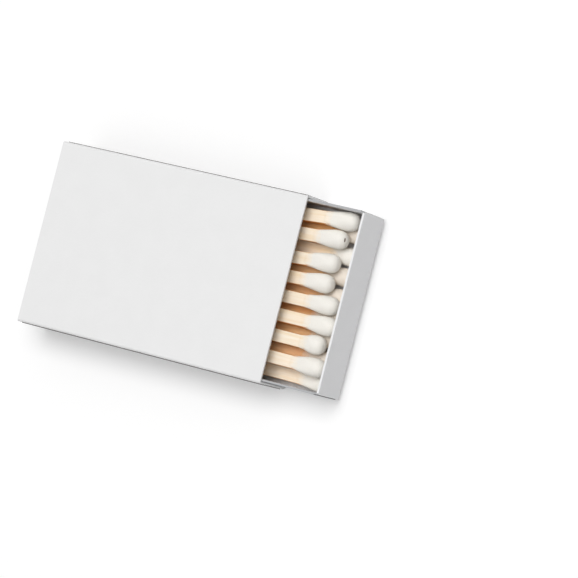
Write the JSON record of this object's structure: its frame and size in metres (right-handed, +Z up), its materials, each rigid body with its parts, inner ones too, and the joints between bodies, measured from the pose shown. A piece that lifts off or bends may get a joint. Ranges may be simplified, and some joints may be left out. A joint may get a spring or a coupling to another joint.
{
  "type": "matchbox",
  "caption": "Slide matchbox: a folded card sleeve with a striking strip on each side, and a drawn-out card tray of wooden matches.",
  "frame": {"origin": "on the surface the box lies on, under the middle of the sleeve and the drawn-out tray together", "axes": "+X along the box, the way the tray is drawn out in the rest pose; +Y across the box; +Z up, out of the front panel"},
  "size_m": [0.0668, 0.0362, 0.0105],
  "materials": {
    "sleeve_card": "matte",
    "tray_card": "matte",
    "striking_surface": "matte",
    "splint_wood": "matte",
    "match_head": "matte"
  },
  "bodies": {
    "sleeve": {"sleeve": "sleeve_card", "striker_left": "striking_surface", "striker_right": "striking_surface"},
    "tray": {"head_lower_1": "match_head", "head_lower_2": "match_head", "head_lower_3": "match_head", "head_lower_4": "match_head", "head_lower_5": "match_head", "head_lower_6": "match_head", "head_lower_7": "match_head", "head_lower_8": "match_head", "head_upper_1": "match_head", "head_upper_2": "match_head", "head_upper_3": "match_head", "head_upper_4": "match_head", "head_upper_5": "match_head", "head_upper_6": "match_head", "head_upper_7": "match_head", "head_upper_8": "match_head", "splint_lower_1": "splint_wood", "splint_lower_2": "splint_wood", "splint_lower_3": "splint_wood", "splint_lower_4": "splint_wood", "splint_lower_5": "splint_wood", "splint_lower_6": "splint_wood", "splint_lower_7": "splint_wood", "splint_lower_8": "splint_wood", "splint_upper_1": "splint_wood", "splint_upper_2": "splint_wood", "splint_upper_3": "splint_wood", "splint_upper_4": "splint_wood", "splint_upper_5": "splint_wood", "splint_upper_6": "splint_wood", "splint_upper_7": "splint_wood", "splint_upper_8": "splint_wood", "tray": "tray_card"}
  },
  "joints": [
    {"name": "tray_slide", "type": "slide", "parent": "sleeve", "child": "tray", "axis": [1, 0, 0], "range_m": [-0.055, 0.0308]}
  ]
}
